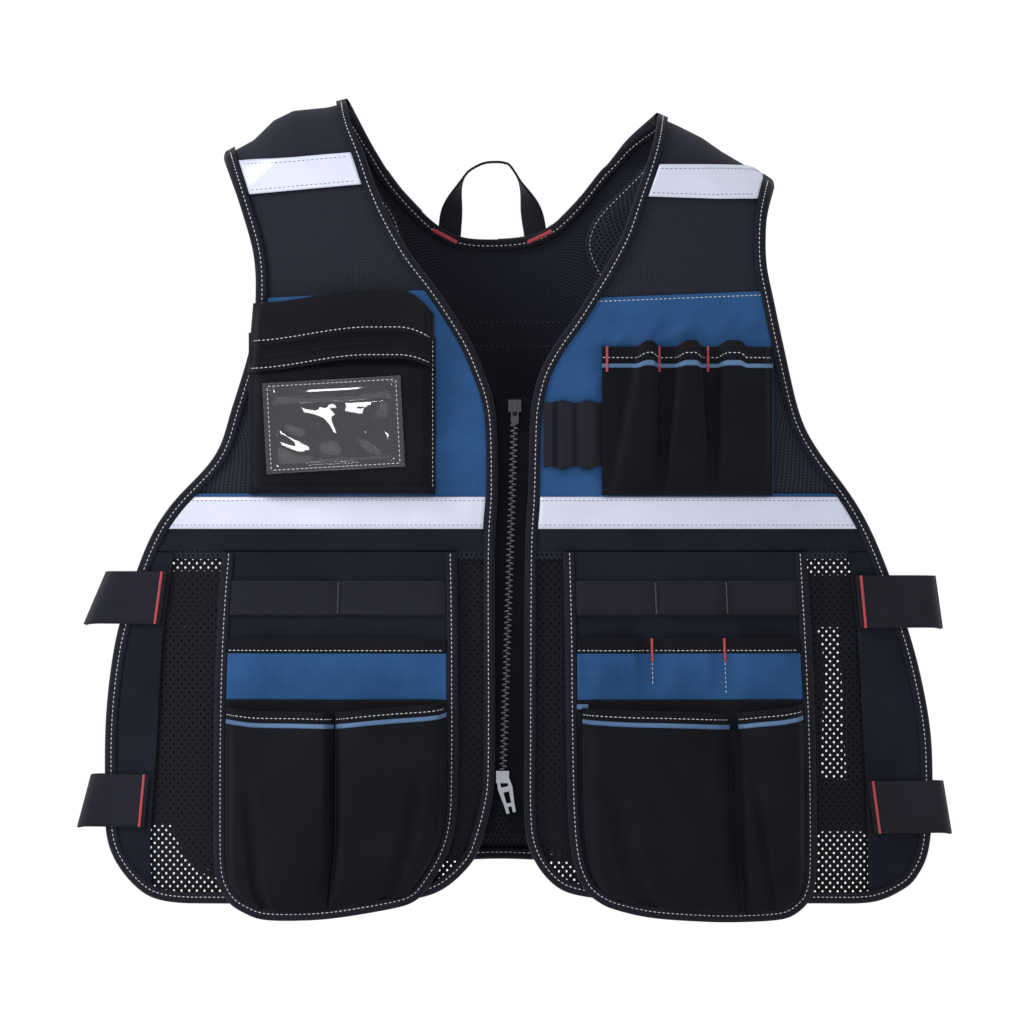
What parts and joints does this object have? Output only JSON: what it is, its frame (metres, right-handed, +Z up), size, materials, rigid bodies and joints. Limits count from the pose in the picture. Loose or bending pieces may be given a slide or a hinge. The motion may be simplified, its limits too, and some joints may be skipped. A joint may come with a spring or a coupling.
{
  "type": "utility work vest",
  "caption": "Sleeveless mesh work vest with a two-way front zip, reflective tape, hanging pocket boards, bellows pockets, tool slots, side straps and a hang loop.",
  "frame": {"origin": "where the shoulders carry the vest: on the middle plane, between the front and back skins, 30 mm below the highest shoulder point", "axes": "+Z up, -Y out of the front, +X toward the right of someone who looks at the front"},
  "size_m": [0.686, 0.1734, 0.6468],
  "materials": {
    "mesh_cloth": "open polyester net, matte black",
    "black_cloth": "woven polyester, matte black with a blue cast",
    "pocket_cloth": "coarse woven polyester, matte black",
    "blue_cloth": "woven polyester, matte blue",
    "edge_binding": "folded polyester binding tape, matte black",
    "piping": "slate blue cloth strip",
    "reflective_tape": "retroreflective cloth tape, silver grey",
    "webbing": "woven polyester webbing, black",
    "clear_sheet": "clear soft vinyl, glossy",
    "zip_tape": "woven polyester zip tape, black",
    "zip_teeth": "moulded plastic teeth, black",
    "black_metal": "black enamelled zinc, satin",
    "bright_metal": "plated zinc, polished"
  },
  "bodies": {
    "vest": {"left_front_shell": "mesh_cloth", "right_front_shell": "mesh_cloth", "back_panel": "mesh_cloth", "left_shoulder_pad": "mesh_cloth", "right_shoulder_pad": "mesh_cloth", "left_front_binding": "edge_binding", "right_front_binding": "edge_binding", "back_binding": "edge_binding", "neck_binding": "edge_binding", "left_board_binding": "edge_binding", "right_board_binding": "edge_binding", "left_chest_panel": "blue_cloth", "right_chest_panel": "blue_cloth", "left_upper_pocket": "blue_cloth", "right_upper_pocket": "blue_cloth", "left_waist_panel": "black_cloth", "right_waist_panel": "black_cloth", "left_side_panel": "black_cloth", "right_side_panel": "black_cloth", "left_pocket_board": "black_cloth", "right_pocket_board": "black_cloth", "left_lower_pocket_a": "pocket_cloth", "left_lower_pocket_b": "pocket_cloth", "right_lower_pocket_a": "pocket_cloth", "right_lower_pocket_b": "pocket_cloth", "tool_slots": "pocket_cloth", "chest_pocket": "pocket_cloth", "chest_zip_cover": "pocket_cloth", "left_lower_piping_a": "piping", "left_lower_piping_b": "piping", "right_lower_piping_a": "piping", "right_lower_piping_b": "piping", "tool_piping": "piping", "left_chest_tape": "reflective_tape", "right_chest_tape": "reflective_tape", "left_shoulder_tape": "reflective_tape", "right_shoulder_tape": "reflective_tape", "back_tape": "reflective_tape", "elastic_loops": "webbing", "left_carrier_webbing": "webbing", "right_carrier_webbing": "webbing", "upper_left_strap": "webbing", "lower_left_strap": "webbing", "upper_right_strap": "webbing", "lower_right_strap": "webbing", "hang_loop": "webbing", "window_sheet": "clear_sheet", "left_zip_tape": "zip_tape", "right_zip_tape": "zip_tape", "zip_chain": "zip_teeth", "top_slider": "black_metal", "lower_slider": "bright_metal"},
    "top_pull": {"top_pull": "black_metal"},
    "lower_pull": {"lower_pull": "bright_metal"}
  },
  "joints": [
    {"name": "top_pull_hinge", "type": "hinge", "parent": "vest", "child": "top_pull", "pos_m": [0.00604, -0.08042, -0.20923], "axis": [-1, 0, 0], "range_deg": [0, 150]},
    {"name": "lower_pull_hinge", "type": "hinge", "parent": "vest", "child": "lower_pull", "pos_m": [-0.00342, -0.08049, -0.49881], "axis": [-0.9703, 0, -0.2419], "range_deg": [0, 130]}
  ]
}
